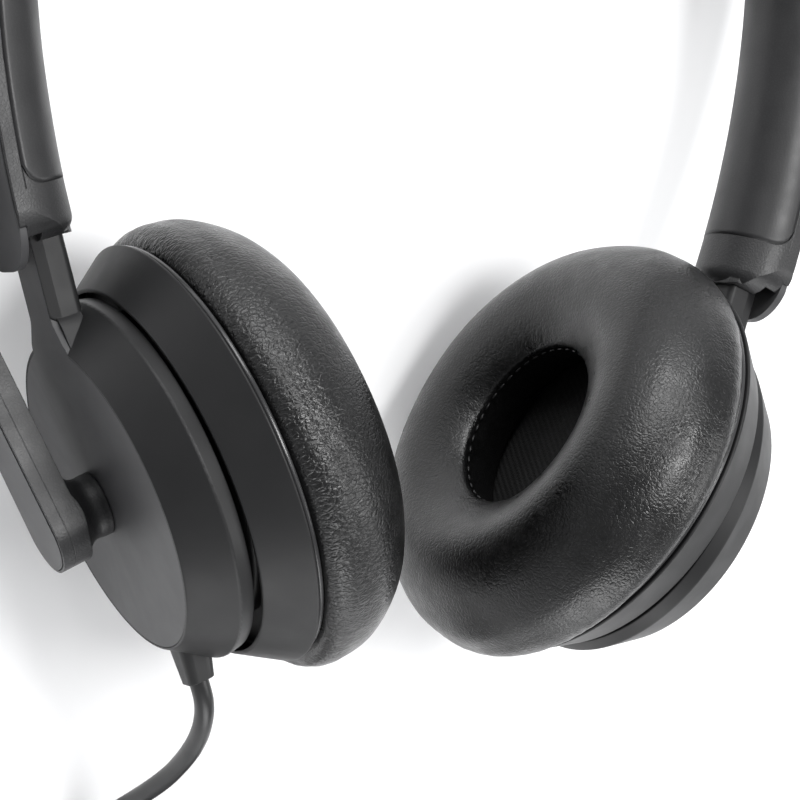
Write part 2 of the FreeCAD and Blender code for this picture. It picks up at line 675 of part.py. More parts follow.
def swept_band(section, low_angle):
    """Section carried from the left arm's end over the crown to the right arm's end."""
    left = swept_arm(section, low_angle)
    right = mirrored(swept_arm(section, low_angle + RIGHT_EXTRA))
    return joined([left] + swept_crown(section) + [right])


def rectangle(half_width, outer, inner, outer_round=0.0, inner_round=0.0):
    return [(-half_width, outer, outer_round), (half_width, outer, outer_round),
            (half_width, inner, inner_round), (-half_width, inner, inner_round)]


def crest_section(shrink=0.0):
    """Half-ellipse section of the pad, from the seam to the crest."""
    half, depth = BAND_HALF_W - shrink, BAND_T - BAND_SIDE - shrink
    base = Part.LineSegment(V(-half, BAND_SIDE, 0), V(half, BAND_SIDE, 0)).toShape()
    arc = Part.Arc(Part.Ellipse(V(0, BAND_SIDE, 0), half, depth), 0, math.pi).toShape()
    if half < depth:
        raise ValueError("the section must be wider than it is deep")
    face = Part.Face(Part.Wire([base, arc]))
    placed = axes_placement(V(-BAND_HALF_SPAN, 0, BAND_WIDEST_Z), Y_AXIS, X_AXIS, Z_AXIS * -1)
    return moved(face, placed)


def end_outline(end_angle, half, corner):
    """Arm seen square to its outside, with rounded corners at its end."""
    end = math.radians(end_angle)
    tip = arm_centre() + V(-math.cos(end), 0, -math.sin(end)) * ARM_R
    along = V(-math.sin(end), 0, math.cos(end))
    flat = axes_placement(tip, Y_AXIS, along, Y_AXIS.cross(along))
    return moved(prism([(-half, 0.0, corner), (half, 0.0, corner), (half, 90), (-half, 90)],
                       -30, 30), flat)


def corner_waste(extra):
    """What is cut from the corners of the frame's left end."""
    end_angle = FRAME_END + extra
    whole = end_outline(end_angle + 1.0, BAND_HALF_W + 2, 0.0)
    return whole.cut(end_outline(end_angle, BAND_HALF_W, 5.0)).cut(
        end_outline(end_angle - 2.6, BAND_HALF_W + 3, 0.0))


def headband_cover():
    """Smooth outer strip, let into the frame, with rounded ends below it."""
    half = BAND_HALF_W - 0.75
    section = band_section(rectangle(half, 0, BAND_COVER_T, 0.25, 0.0))

    def rounded_arm(end_angle):
        return swept_arm(section, end_angle).common(end_outline(end_angle, half, 6.6))

    right = mirrored(rounded_arm(COVER_END + RIGHT_EXTRA))
    return joined([rounded_arm(COVER_END)] + swept_crown(section) + [right])


def slider_channel(half_width, low, high, outer, inner):
    """Straight space in the frame, in the slider's own axes, carried to the wearing axes."""
    return moved(moved(prism([(-half_width, low), (half_width, low), (half_width, high),
                              (-half_width, high)], outer, inner), SLIDER), CUP)


def end_cavities(extra):
    """Spaces of one end: the slider, the rail, the detent's pocket and the mouth's recess."""
    gap = RUNNING_GAP
    rail_mid = RAIL_SET_IN + RAIL_T / 2
    recess_top = 20.5 - math.radians(extra) * ARM_R
    return [
        slider_channel(SLIDER_W / 2 + gap, 5, BODY_LENGTH + gap + 0.6, -gap, SLIDER_T + gap),
        slider_channel(STOP_W / 2 + gap, BODY_LENGTH - 1, BODY_LENGTH + RAIL_LENGTH + 2.2,
                       rail_mid - STOP_T / 2 - gap, rail_mid + STOP_T / 2 + gap),
        slider_channel(STOP_W / 2 - 1.2, BODY_LENGTH + 7.0, BODY_LENGTH + 21.0, 0.6, rail_mid),
        slider_channel(BAND_HALF_W - 1.3, 5, recess_top, -4.0, 1.0),
    ]


def pad_zone(extra):
    """Side outline of the left pad end: square to the arm, with a rounded outer corner."""
    end = math.radians(PAD_END + extra)
    seam = ARM_R - BAND_SIDE
    outer = arm_centre() + V(-math.cos(end), 0, -math.sin(end)) * seam
    inner = arm_centre() + V(-math.cos(end), 0, -math.sin(end)) * (ARM_R - BAND_T - 20)
    side = outer + V(-math.sin(end), 0, math.cos(end)) * 60
    points = [(outer.x, outer.z, 3.2), (inner.x, inner.z), (inner.x, side.z), (side.x, side.z)]
    return side_prism(points, 20)


def frame_end(extra):
    """Thick end of the left arm below the pad, with the sleeves round slider and rail."""
    end_angle = FRAME_END + extra
    full_end = swept_arm(crest_section(), end_angle, PAD_END - 7.0)
    end_block = full_end.cut(pad_zone(extra))
    end_block = rounded_edges(end_block, 2.6, frame_end_edge(end_angle))
    edge = band_section(rectangle(BAND_HALF_W, 0.15, BAND_SIDE, 0.15, 0.0))
    plain_edge = swept_arm(edge, end_angle, PAD_END + extra + 0.1)
    sleeve = slider_channel(SLIDER_W / 2 + 1.3, 10, BODY_LENGTH + 2.0, -1.0, SLIDER_T + 1.1)
    rail_mid = RAIL_SET_IN + RAIL_T / 2
    rail_sleeve = slider_channel(STOP_W / 2 + 1.3, BODY_LENGTH, BODY_LENGTH + RAIL_LENGTH + 3.4,
                                 rail_mid - 2.0, rail_mid + STOP_T / 2 + 1.2)
    long_crest = swept_arm(crest_section(0.5), end_angle)
    return [end_block, plain_edge, long_crest.common(sleeve), long_crest.common(rail_sleeve)]


def frame_end_edge(end_angle):
    """Test for the inner edge of the frame's bottom face."""
    end = math.radians(end_angle)
    normal = V(-math.sin(end), 0, math.cos(end))

    def test(edge):
        for vertex in edge.Vertexes:
            if abs((vertex.Point - arm_centre()).dot(normal)) > 0.01:
                return False
        offset = edge.valueAt((edge.FirstParameter + edge.LastParameter) / 2) - arm_centre()
        return abs(offset.dot(normal)) < 0.01 and offset.Length < ARM_R - BAND_SIDE - 1
    return test


def headband_pieces():
    """Frame and pad: the pad sits on the frame's web, over a core that holds the rail."""
    rim = band_section(rectangle(BAND_HALF_W, 0.15, BAND_SIDE, 0.15, 0.2))
    tray = band_section(rectangle(BAND_HALF_W - 0.5, -1.0, BAND_COVER_T + 0.05))
    core = band_section(rectangle(6.2, BAND_SIDE - 0.3, BAND_SIDE + 2.2, 0.0, 0.5))
    crest = crest_section()
    additions = frame_end(0.0) + [mirrored(piece) for piece in frame_end(RIGHT_EXTRA)]
    frame = joined([swept_band(rim, FRAME_END), swept_band(core, FRAME_END)] + additions)
    corners = [corner_waste(0.0), mirrored(corner_waste(RIGHT_EXTRA))]
    frame = without(frame, [swept_band(tray, FRAME_END + 1)] + corners)
    cavities = end_cavities(0.0) + [mirrored(space) for space in end_cavities(RIGHT_EXTRA)]
    cavities.append(spring_band(0.05))
    frame = without(frame, cavities)
    left_pad = swept_arm(crest, FRAME_END).common(pad_zone(0.0))
    right_pad = swept_arm(crest, FRAME_END + RIGHT_EXTRA).common(pad_zone(RIGHT_EXTRA))
    pad = joined([left_pad] + swept_crown(crest) + [mirrored(right_pad)])
    pad = without(pad, [frame] + cavities)
    return biggest(frame), biggest(pad)


def biggest(shape):
    return max(shape.Solids, key=lambda solid: solid.Volume)


def spring_band(grow=0.0):
    """Spring-steel strip in the frame's core, over the crown and shoulders."""
    middle = BAND_SIDE + 1.2
    half_t = 0.35 + grow
    section = band_section(rectangle(5.0 + grow, middle - half_t, middle + half_t))
    return joined(swept_crown(section))


def band_screws():
    """Four screws from the pad side that hold the cover to the frame."""
    screws = []
    for angle in (18.0, 46.0):
        turn = math.radians(angle)
        out = V(-math.cos(turn), 0, math.sin(turn))
        for side in (-1, 1):
            start = shoulder_centre() + out * (SHOULDER_R - BAND_SIDE) + V(0, side * 7.4, 0)
            shank = rod(0.7, start, start + out * 0.9)
            head = rod(1.1, start - out * 0.7, start)
            screws.append(shank.fuse(head))
    screws += [mirrored(screw) for screw in screws]
    return screws


# ---------------------------------------------------------------- cord
RELIEF_X, RELIEF_DEPTH = 0.6, 4.1
RELIEF_START, RELIEF_END = -25.0, -30.7


def relief_body(grow):
    """Short tapered sleeve at the bottom of the left cup."""
    def section(y, half_x, half_z, depth):
        wire = rounded_wire([(-half_x, -half_z, half_z * 0.6), (half_x, -half_z, half_z * 0.6),
                             (half_x, half_z, half_z * 0.6), (-half_x, half_z, half_z * 0.6)])
        placed = axes_placement(V(RELIEF_X, y, depth), X_AXIS, Z_AXIS, Y_AXIS * -1)
        return moved(wire, placed)
    big = section(RELIEF_START + 1.5, 3.5 + grow, 2.75 + grow, RELIEF_DEPTH + 0.6)
    small = section(RELIEF_END, 2.35 + grow, 2.1 + grow, RELIEF_DEPTH - 0.3)
    return Part.makeLoft([big, small], True, True)


def cord_exit():
    """Centre of the strain relief's end, in the wearing axes."""
    return CUP.multVec(V(RELIEF_X, RELIEF_END, RELIEF_DEPTH - 0.3))


def rounded_path(points):
    """Straight runs joined by tangent arcs, each as large as its two runs allow."""
    edges, radii, start = [], [], points[0]
    for i in range(1, len(points) - 1):
        back, ahead = points[i - 1] - points[i], points[i + 1] - points[i]
        shorter = min(back.Length, ahead.Length)
        half = (math.pi - back.getAngle(ahead)) / 2
        reach = 0.45 * shorter
        radius = reach / math.tan(half)
        back, ahead = back.normalize(), ahead.normalize()
        enter, leave = points[i] + back * reach, points[i] + ahead * reach
        bisector = (back + ahead).normalize()
        middle = points[i] + bisector * (radius / math.cos(half) - radius)
        edges.append(Part.LineSegment(start, enter).toShape())
        edges.append(Part.Arc(enter, middle, leave).toShape())
        radii.append(round(radius, 1))
        start = leave
    edges.append(Part.LineSegment(start, points[-1]).toShape())
    return Part.Wire(edges), radii


def cord_tube(name, points):
    path, radii = rounded_path(points)
    profile = Part.Wire(Part.makeCircle(CORD_D / 2, points[0], points[1] - points[0]))
    solid = path.makePipeShell([profile], True, False)
    expected = math.pi * CORD_D ** 2 / 4 * path.Length
    print(name, "radii", radii, "length", round(path.Length, 1),
          "volume ratio", round(solid.Volume / expected, 4))
    return solid


# Routes on the table, in the part's own frame.
CORD_ROUTE = [(-27.3, -90.2, 39.9), (-26.1, -94.4, 37.5), (-25.2, -98.4, 33.9),
              (-24.7, -102.5, 29.5), (-24.7, -107.1, 24.2), (-25.6, -112.4, 17.2),
              (-27.1, -117.5, 10.4), (-28.2, -123.0, 5.0), (-28.7, -129.6, 2.2),
              (-28.9, -136.8, 1.5), (-28.8, -143.6, 1.5)]
TAIL_ROUTE = [(-10.7, -166.8, 10.5), (-5.3, -167.2, 10.3), (0.1, -167.6, 8.3),
              (5.1, -167.4, 5.4), (9.7, -166.9, 4.1), (PLUG_X, PLUG_Y, 4.0)]


def cord_lead(exit_point):
    """Cord from the strain relief down to the table and on to the coil."""
    return cord_tube("cord_tube", [exit_point] + [V(*place) for place in CORD_ROUTE])


def coil_section(grow):
    """Ring with the section of the wound turns, in the part's own frame."""
    half = COIL_RANKS * CORD_D / 2
    inner, outer = COIL_MIDDLE_R - half - grow, COIL_MIDDLE_R + half + grow
    ring = tube(outer, inner, 0.0, COIL_LAYERS * CORD_D + grow)
    ring.translate(V(COIL_X, COIL_Y, 0))
    return ring


def coil_tie():
    """Strap round the bundle, flush with the table below."""
    band = block((COIL_MIDDLE_R, 0, 0), (30, TIE_W, 60))
    band.rotate(ORIGIN, Z_AXIS, TIE_ANGLE)
    band.translate(V(COIL_X, COIL_Y, 0))
    hole = coil_section(0.0).cut(block((COIL_X, COIL_Y, 0), (200, 200, 2 * TIE_T)))
    return coil_section(TIE_T).cut(hole).common(band)


def plug_overmould():
    """Grip of the plug with a short ribbed sleeve where the cord goes in."""
    grip = prism([(6.0, -7.8, 1.5), (26.0, -7.8, 1.2), (26.0, 7.8, 1.2), (6.0, 7.8, 1.5)], 0, 8.0)
    grip = rounded_edges(grip, 1.0, lambda edge: at_depth(8.0)(edge) or at_depth(0.0)(edge))
    sleeve = Part.makeCone(2.2, 3.2, 6.6, V(0, 0, 4.0), X_AXIS)
    socket = block((26.0, 0, 4.0), (8.0, 12.0, 4.5))
    overmould = joined([grip, sleeve]).cut(socket)
    overmould.translate(V(PLUG_X, PLUG_Y, 0))
    return overmould


def plug_shell():
    """Folded metal shell with two square windows above and below."""
    outer = block((29.9, 0, 4.0), (15.8, 12.0, 4.5))
    space = block((30.2, 0, 4.0), (16.4, 11.4, 3.9))
    windows = [block((33.0, side * 3.0, 4.0), (2.3, 2.5, 10.0)) for side in (-1, 1)]
    shell = without(outer, [space] + windows)
    shell.translate(V(PLUG_X, PLUG_Y, 0))
    return shell


def plug_tongue():
    """Insulator that fills the lower half of the shell, with four contact strips."""
    tongue = block((29.6, 0, 3.1), (15.0, 11.2, 1.9))
    base = block((23.4, 0, 4.0), (2.6, 11.2, 3.7))
    strips = [block((32.5, offset, 4.1), (7.0, 1.0, 0.2)) for offset in (-3.5, -1.0, 1.0, 3.5)]
    part = joined([tongue, base] + strips)
    part.translate(V(PLUG_X, PLUG_Y, 0))
    return part


def cord_solids(exit_point):
    """The cord and what is on it, in the part's own frame."""
    tie = coil_tie()
    coil = coil_section(0.0)
    lead = cord_lead(exit_point).cut(coil)
    tail = cord_tube("cord_tail", [V(*place) for place in TAIL_ROUTE]).cut(coil)
    return {"cord_tube": biggest(lead), "cord_coil": coil.cut(tie), "cord_tail": biggest(tail),
            "coil_tie": tie, "plug_overmould": plug_overmould(), "plug_shell": plug_shell(),
            "plug_tongue": plug_tongue()}


# ---------------------------------------------------------------- assembly
def cup_solids(has_boom, tilt):
    """Every solid of one side in the left cup's axes, as (moving group, name, shape)."""
    nod = FreeCAD.Placement(ORIGIN, FreeCAD.Rotation(X_AXIS, -tilt), PIVOT)
    cover = arm_cover(has_boom)
    arm = [("arm_cover", cover), ("arm_housing", arm_housing(has_boom).cut(cover)),
           ("face_screws", face_screws()), ("slider_rail", slider_rail()),
           ("slider_stop", slider_stop()), ("gimbal_bracket", gimbal_bracket()),
           ("gimbal_bushes", gimbal_bushes())]
    cup = [("pivot_yoke", pivot_yoke()), ("back_shell", back_shell()), ("cup_ring", cup_ring()),
           ("cup_screws", cup_screws()), ("driver_basket", driver_basket()),
           ("driver_magnet", driver_magnet()), ("driver_cone", driver_cone()),
           ("speaker_cloth", speaker_cloth()), ("cushion_clip", cushion_clip()),
           ("cushion", cushion())]
    cup = [(name, moved(shape, nod)) for name, shape in cup]
    return arm + [("gimbal_ring", gimbal_ring()), ("detent_spring", detent_spring())] + cup


def wearing_solids():
    """All pieces except the cord, in the wearing axes."""
    solids = {}
    for name, shape in cup_solids(True, LEFT_REST_TILT):
        solids["left_" + name] = moved(shape, CUP)
    for name, shape in cup_solids(False, RIGHT_REST_TILT):
        solids["right_" + name] = mirrored(moved(shape, CUP))
    left_only = {"main_board": main_board(), "cord_strain_relief": relief_body(0.0),
                 "boom_bush": boom_bush(), "boom_clip": boom_clip(), "boom_axle": boom_axle(),
                 "boom_cover": boom_cover(), "boom_middle_band": boom_middle_band(),
                 "boom_inner_shell": boom_inner_shell(),
                 "microphone_capsule": microphone_capsule(),
                 "microphone_grille": microphone_grille()}
    for name, shape in left_only.items():
        solids[name] = moved(shape, CUP)
    solids["headband_cover"] = headband_cover()
    frame, pad = headband_pieces()
    screws = band_screws()
    solids["headband_frame"] = without(frame, screws)
    solids["headband_pad"] = without(pad, screws)
    solids["headband_spring"] = spring_band()
    solids["headband_screws"] = Part.makeCompound(screws)
    return solids


def table_placement(solids):
    """Lay the headset down: the table is Z = 0 and the box is centred over the origin."""
    tilt = math.radians(REST_TILT)
    up = V(0, -math.cos(tilt), -math.sin(tilt))
    along = V(0, -math.sin(tilt), math.cos(tilt))
    turned = axes_placement(ORIGIN, X_AXIS, along, up).inverse()
    box = FreeCAD.BoundBox()
    for name, shape in solids.items():
        surface, _ = moved(shape, turned).tessellate(0.02)
        for point in surface:
            box.add(point)
        if name in ("left_cushion", "right_cushion", "headband_frame"):
            print("lowest point of", name, round(min(point.z for point in surface), 3))
    shift = V(-(box.XMin + box.XMax) / 2, -(box.YMin + box.YMax) / 2, -box.ZMin)
    return FreeCAD.Placement(shift, FreeCAD.Rotation()).multiply(turned)


def report_joints(table):
    """Print each joint's axis and place in the part's own frame, in metres."""
    whole = table.multiply(CUP)

    def show(name, placement, direction, place=None, mirror=False):
        axis = placement.Rotation.multVec(direction)
        point = placement.multVec(place) if place else None
        if mirror:
            point = V(-point.x, point.y, point.z) if point else None
            axis = V(-axis.x, axis.y, axis.z)
        numbers = [round(c, 6) for c in axis]
        metres = [round(c / 1000, 6) for c in point] if point else None
        print("JOINT", name, numbers, metres)

    rail = whole.multiply(SLIDER)
    show("left_slide", rail, Y_AXIS * -1)
    show("left_swivel", whole, Y_AXIS, PIVOT)
    show("left_nod", whole, X_AXIS, PIVOT)
    show("boom", whole, Z_AXIS * -1, V(HUB_X, HUB_Y, -BOOM_OUTER))
    mirror_line = table.multVec(ORIGIN).x
    print("JOINT mirror_x", round(mirror_line / 1000, 6))
    print("TABLE", [round(c, 6) for c in table.multVec(ORIGIN)])


def main():
    os.makedirs("parts", exist_ok=True)
    solids = wearing_solids()
    table = table_placement(solids)
    report_joints(table)
    exit_point = table.multVec(cord_exit())
    print("CORD EXIT", [round(c, 3) for c in exit_point])
    placed = {name: moved(shape, table) for name, shape in solids.items()}
    placed.update(cord_solids(exit_point))
    for name, shape in placed.items():
        bad = "" if shape.isValid() else "INVALID"
        print(name, len(shape.Solids), round(shape.Volume, 1), bad)
        shape.exportStep("parts/" + name + ".step")


main()
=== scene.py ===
"""Looks of the wired office headset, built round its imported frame."""

import json
import math

import bpy
import numpy as np
from mathutils import Matrix, Vector, noise


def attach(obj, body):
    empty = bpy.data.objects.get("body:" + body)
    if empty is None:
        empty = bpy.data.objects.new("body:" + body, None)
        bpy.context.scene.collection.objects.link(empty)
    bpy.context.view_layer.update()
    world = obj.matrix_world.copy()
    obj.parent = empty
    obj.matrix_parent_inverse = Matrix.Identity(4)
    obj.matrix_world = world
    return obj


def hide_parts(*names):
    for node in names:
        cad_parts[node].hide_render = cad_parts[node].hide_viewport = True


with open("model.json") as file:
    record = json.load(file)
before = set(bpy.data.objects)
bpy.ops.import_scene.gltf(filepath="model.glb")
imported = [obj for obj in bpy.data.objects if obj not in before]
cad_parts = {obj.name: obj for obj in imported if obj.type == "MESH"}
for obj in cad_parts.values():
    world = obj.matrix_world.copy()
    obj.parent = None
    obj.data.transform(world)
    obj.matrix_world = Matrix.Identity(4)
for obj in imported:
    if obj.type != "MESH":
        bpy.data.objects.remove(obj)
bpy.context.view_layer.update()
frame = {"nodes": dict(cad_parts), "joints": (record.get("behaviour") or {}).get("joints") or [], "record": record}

MM = 0.001
JOINTS = {joint["name"]: joint for joint in frame["joints"]}
NODES = frame["nodes"]
SIDES = ("left", "right")

# ---------------------------------------------------------------- places
REST_TILT = math.radians(10.17)         # slope of the headset on the table
FACE_HALF_SPAN = 48.75                  # mm, middle of the headset to each cup's outer face
PIVOT_DEPTH = 6.6                       # mm, outer face to the gimbal's pins
CUP_TILT = {"left": 0.8, "right": 2.8}  # degrees that each cup nods at rest

FORWARD = Vector(JOINTS["left_nod"]["axis"])
UPWARD = Vector(JOINTS["left_swivel"]["axis"])
INWARD = FORWARD.cross(UPWARD)
PIVOT = Vector(JOINTS["left_swivel"]["pos_m"])
MIRROR_X = (PIVOT.x + JOINTS["right_swivel"]["pos_m"][0]) / 2
MIDDLE = PIVOT - INWARD * PIVOT_DEPTH * MM + Vector((FACE_HALF_SPAN * MM, 0, 0))


def wearing_direction(x, y, z):
    """Direction in the wearing axes, X to the right cup, Y to the front, Z to the crown."""
    s, c = math.sin(REST_TILT), math.cos(REST_TILT)
    return Vector((x, -s * y + c * z, -c * y - s * z))


def wearing_point(x, y, z):
    """Point in the wearing axes, in mm from the middle of the headset at the pivots' height."""
    return MIDDLE + wearing_direction(x, y, z) * MM


def cup_point(side, x, y, depth):
    """Point in a cup's own axes, in mm: x forward, y up along the face, depth to the ear."""
    turn = math.radians(CUP_TILT[side])
    deep = depth - PIVOT_DEPTH
    high = y * math.cos(turn) + deep * math.sin(turn)
    deep = -y * math.sin(turn) + deep * math.cos(turn)
    point = PIVOT + (FORWARD * x + UPWARD * high + INWARD * deep) * MM
    if side == "right":
        point.x = 2 * MIRROR_X - point.x
    return point


# ---------------------------------------------------------------- camera
CAMERA_AZIMUTH, CAMERA_ELEVATION, CAMERA_ROLL = 29.33, 0.90, 2.13    # degrees
CAMERA_PLACE = (-219.3, -389.81, 22.47)     # mm, in the wearing axes
CAMERA_LENS, CAMERA_SENSOR = 131.8, 36.0    # mm
CLIP_NEAR, CLIP_FAR = 0.01, 20.0            # m


def make_camera():
    turn, rise = math.radians(CAMERA_AZIMUTH), math.radians(CAMERA_ELEVATION)
    roll = math.radians(CAMERA_ROLL)
    back = Vector((-math.sin(turn) * math.cos(rise), -math.cos(turn) * math.cos(rise),
                   math.sin(rise)))
    right = Vector((math.cos(turn), -math.sin(turn), 0))
    up = back.cross(right)
    rolled_right = right * math.cos(roll) + up * math.sin(roll)
    rolled_up = up * math.cos(roll) - right * math.sin(roll)
    columns = [wearing_direction(*v) for v in (rolled_right, rolled_up, back)]
    place = wearing_point(*CAMERA_PLACE)
    camera = bpy.data.objects.new("camera", bpy.data.cameras.new("camera"))
    camera.data.lens = CAMERA_LENS
    camera.data.sensor_width = CAMERA_SENSOR
    camera.data.clip_start = CLIP_NEAR
    camera.data.clip_end = CLIP_FAR
    rotation = Matrix(columns).transposed()
    camera.matrix_world = Matrix.Translation(place) @ rotation.to_4x4()
    bpy.context.scene.collection.objects.link(camera)
    bpy.context.scene.camera = camera


# ---------------------------------------------------------------- mesh helpers
def new_object(name, data):
    piece = bpy.data.objects.new(name, data)
    bpy.context.scene.collection.objects.link(piece)
    return piece


def mesh_piece(name, points, faces, smooth=True):
    mesh = bpy.data.meshes.new(name)
    mesh.from_pydata([tuple(p) for p in points], [], faces)
    mesh.validate()
    mesh.polygons.foreach_set("use_smooth", [smooth] * len(mesh.polygons))
    mesh.update()
    return new_object(name, mesh)


def grid_faces(rows, columns, close_rows=True, close_columns=True):
    """Quads of a grid of points that is closed along its rows, its columns or both."""
    faces = []
    for i in range(rows if close_rows else rows - 1):
        for j in range(columns if close_columns else columns - 1):
            a, b = i * columns + j, i * columns + (j + 1) % columns
            c, d = ((i + 1) % rows) * columns + (j + 1) % columns, ((i + 1) % rows) * columns + j
            faces.append((a, b, c, d))
    return faces


def outward_normals(piece):
    bpy.context.view_layer.objects.active = piece
    bpy.ops.object.select_all(action="DESELECT")
    piece.select_set(True)
    bpy.ops.object.mode_set(mode="EDIT")
    bpy.ops.mesh.select_all(action="SELECT")
    bpy.ops.mesh.normals_make_consistent(inside=False)
    bpy.ops.object.mode_set(mode="OBJECT")


def points_of(piece):
    co = np.zeros(len(piece.data.vertices) * 3)
    piece.data.vertices.foreach_get("co", co)
    return co.reshape(-1, 3)


def normals_of(piece):
    normals = np.zeros(len(piece.data.vertices) * 3)
    piece.data.vertices.foreach_get("normal", normals)
    return normals.reshape(-1, 3)


def set_points(piece, co):
    piece.data.vertices.foreach_set("co", co.ravel())
    piece.data.update()


SPAN_STEPS = 24                         # fine steps from one curve point to the next


def smooth_curve(points, count):
    """Catmull-Rom curve through 2-D points, sampled evenly by length."""
    pts = np.array(points, float)
    padded = np.vstack([2 * pts[0] - pts[1], pts, 2 * pts[-1] - pts[-2]])
    fine = []
    for i in range(1, len(padded) - 2):
        p0, p1, p2, p3 = padded[i - 1:i + 3]
        for t in np.linspace(0, 1, SPAN_STEPS, endpoint=False):
            fine.append(0.5 * (2 * p1 + (p2 - p0) * t + (2 * p0 - 5 * p1 + 4 * p2 - p3) * t ** 2
                               + (3 * p1 - p0 - 3 * p2 + p3) * t ** 3))
    fine = np.array(fine + [padded[-2]])
    length = np.concatenate([[0], np.cumsum(np.linalg.norm(np.diff(fine, axis=0), axis=1))])
    wanted = np.linspace(0, length[-1], count)
    return np.column_stack([np.interp(wanted, length, fine[:, k]) for k in (0, 1)])


# ---------------------------------------------------------------- cloth simulation
CLOTH_QUALITY, CLOTH_MASS = 6, 0.15
CLOTH_STRETCH, CLOTH_SHEAR, CLOTH_BEND = 12, 6, 0.05    # stiffnesses
SPREAD_STEPS = 90                       # the filling evens out the skin's small buckles


def spread(piece, shift, pinned):
    """Evens a shift of a mesh's points over their neighbours; pinned points stay still."""
    ends = np.zeros(len(piece.data.edges) * 2, dtype=np.int32)
    piece.data.edges.foreach_get("vertices", ends)
    ends = ends.reshape(-1, 2)
    ends = np.vstack([ends, ends[:, ::-1]])
    order = np.argsort(ends[:, 0], kind="stable")
    ends = ends[order]
    starts = np.searchsorted(ends[:, 0], np.arange(len(shift)))
    count = np.bincount(ends[:, 0], minlength=len(shift))[:, None]
    still = np.array(pinned)
    for _ in range(SPREAD_STEPS):
        shift = 0.5 * shift + 0.5 * np.add.reduceat(shift[ends[:, 1]], starts) / count
        shift[still] = 0
    return shift


def pump_up(piece, pinned, cap, pressure, frames, growth):
    """Short cloth simulation that swells a closed soft piece; no point moves inwards, and
    none further than the cap."""
    start = points_of(piece)
    group = piece.vertex_groups.new(name="held")
    group.add(pinned, 1.0, "REPLACE")
    cloth = piece.modifiers.new("cloth", "CLOTH")
    settings = cloth.settings
    settings.quality = CLOTH_QUALITY
    settings.mass = CLOTH_MASS
    settings.tension_stiffness = settings.compression_stiffness = CLOTH_STRETCH
    settings.shear_stiffness = CLOTH_SHEAR
    settings.bending_stiffness = CLOTH_BEND
    settings.use_pressure = True
    settings.uniform_pressure_force = pressure
    settings.shrink_min = -growth
    settings.vertex_group_mass = "held"
    settings.effector_weights.gravity = 0
    scene = bpy.context.scene
    cloth.point_cache.frame_start, cloth.point_cache.frame_end = 1, frames
    for step in range(1, frames + 1):
        scene.frame_set(step)
    swelled = piece.evaluated_get(bpy.context.evaluated_depsgraph_get())
    shift = points_of(swelled) - start
    size = np.linalg.norm(shift, axis=1, keepdims=True)
    shift *= np.minimum(1.0, cap / np.maximum(size, 1e-9))
    shift = spread(piece, shift, pinned)
    normals = normals_of(piece)
    shift -= normals * np.minimum(0.0, (shift * normals).sum(axis=1, keepdims=True))
    piece.modifiers.remove(cloth)
    piece.vertex_groups.remove(group)
    set_points(piece, start + shift)
    scene.frame_set(1)


# ---------------------------------------------------------------- materials
WORN_GAIN, WORN_ADD = 1.8, 0.02         # how much lighter rubbed edges are
WORN_FROM, WORN_TO = 0.53, 0.60         # pointiness of a rubbed edge
EDGE_SOFTNESS = 0.22                    # mm, the rounding seen on moulded edges


def smooth_ramp(tree, value, low, high, from_low, from_high):
    """Node that eases from low to high while the value goes between its two ends."""
    made = tree.nodes.new("ShaderNodeMapRange")
    made.interpolation_type = "SMOOTHSTEP"
    made.inputs["From Min"].default_value = from_low
    made.inputs["From Max"].default_value = from_high
    made.inputs["To Min"].default_value = low
    made.inputs["To Max"].default_value = high
    tree.links.new(value, made.inputs["Value"])
    return made.outputs["Result"]


